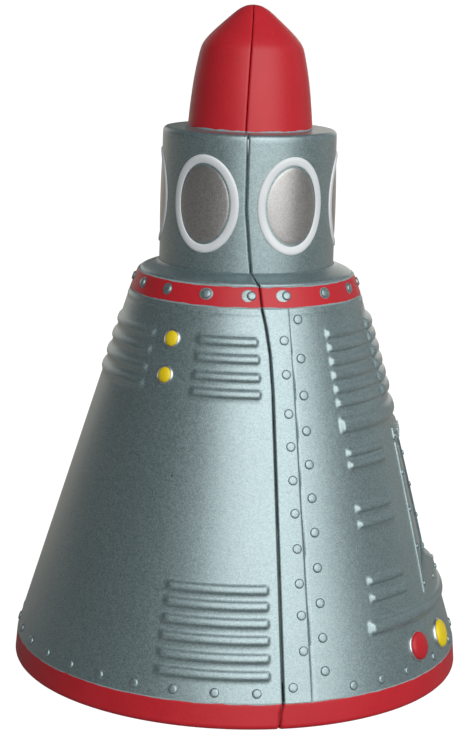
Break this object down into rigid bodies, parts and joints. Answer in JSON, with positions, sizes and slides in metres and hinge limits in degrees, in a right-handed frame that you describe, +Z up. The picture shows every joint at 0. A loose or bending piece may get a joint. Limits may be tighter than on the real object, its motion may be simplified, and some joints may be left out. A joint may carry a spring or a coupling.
{
  "type": "toy space capsule",
  "caption": "Riveted toy space capsule: flared cone with an opening side hatch, porthole drum and pointed nose, made of pressed halves on a flat foot.",
  "frame": {"origin": "centre of the standing rim, at floor level", "axes": "+Z up along the capsule's axis to the tip of the nose, -Y towards the front seam side, +X towards the hatch side"},
  "size_m": [0.0686, 0.0686, 0.1],
  "materials": {
    "paint_grey": "satin metallic blue-grey paint with fine flake",
    "paint_red": "semi-matte red paint",
    "paint_yellow": "satin yellow paint",
    "paint_white": "satin white paint",
    "paint_silver": "silver-grey metallic paint with coarse flake",
    "bare_metal": "bare bright metal"
  },
  "bodies": {
    "capsule": {"cone_left": "paint_grey", "cone_right": "paint_grey", "drum_left": "paint_grey", "drum_right": "paint_grey", "nose_left": "paint_red", "nose_right": "paint_red", "collar_band_left": "paint_red", "collar_band_right": "paint_red", "rim_band_left": "paint_red", "rim_band_right": "paint_red", "base_plate": "paint_grey", "seam_strap_front": "bare_metal", "seam_strap_back": "bare_metal", "lap_strip_front": "paint_grey", "lap_strip_back": "paint_grey", "seam_rivets_front": "paint_grey", "seam_rivets_back": "paint_grey", "collar_rivets": "paint_grey", "foot_rivets": "paint_grey", "lamp_seats": "bare_metal", "small_lamps": "paint_yellow", "large_lamps_red": "paint_red", "large_lamps_yellow": "paint_yellow", "hatch_frame": "paint_grey", "hatch_frame_rivets": "paint_grey", "hatch_pin": "bare_metal", "porthole_bezel_1": "paint_white", "porthole_bezel_2": "paint_white", "porthole_bezel_3": "paint_white", "porthole_bezel_4": "paint_white", "porthole_bezel_5": "paint_white", "porthole_bezel_6": "paint_white", "porthole_pane_1": "paint_silver", "porthole_pane_2": "paint_silver", "porthole_pane_3": "paint_silver", "porthole_pane_4": "paint_silver", "porthole_pane_5": "paint_silver", "porthole_pane_6": "paint_silver"},
    "hatch": {"hatch_door": "paint_grey"}
  },
  "joints": [
    {"name": "hatch_hinge", "type": "hinge", "parent": "capsule", "child": "hatch", "pos_m": [0.02357, -0.00165, 0.03626], "axis": [-0.0698, -0.9976, 0], "range_deg": [0, 100]}
  ]
}
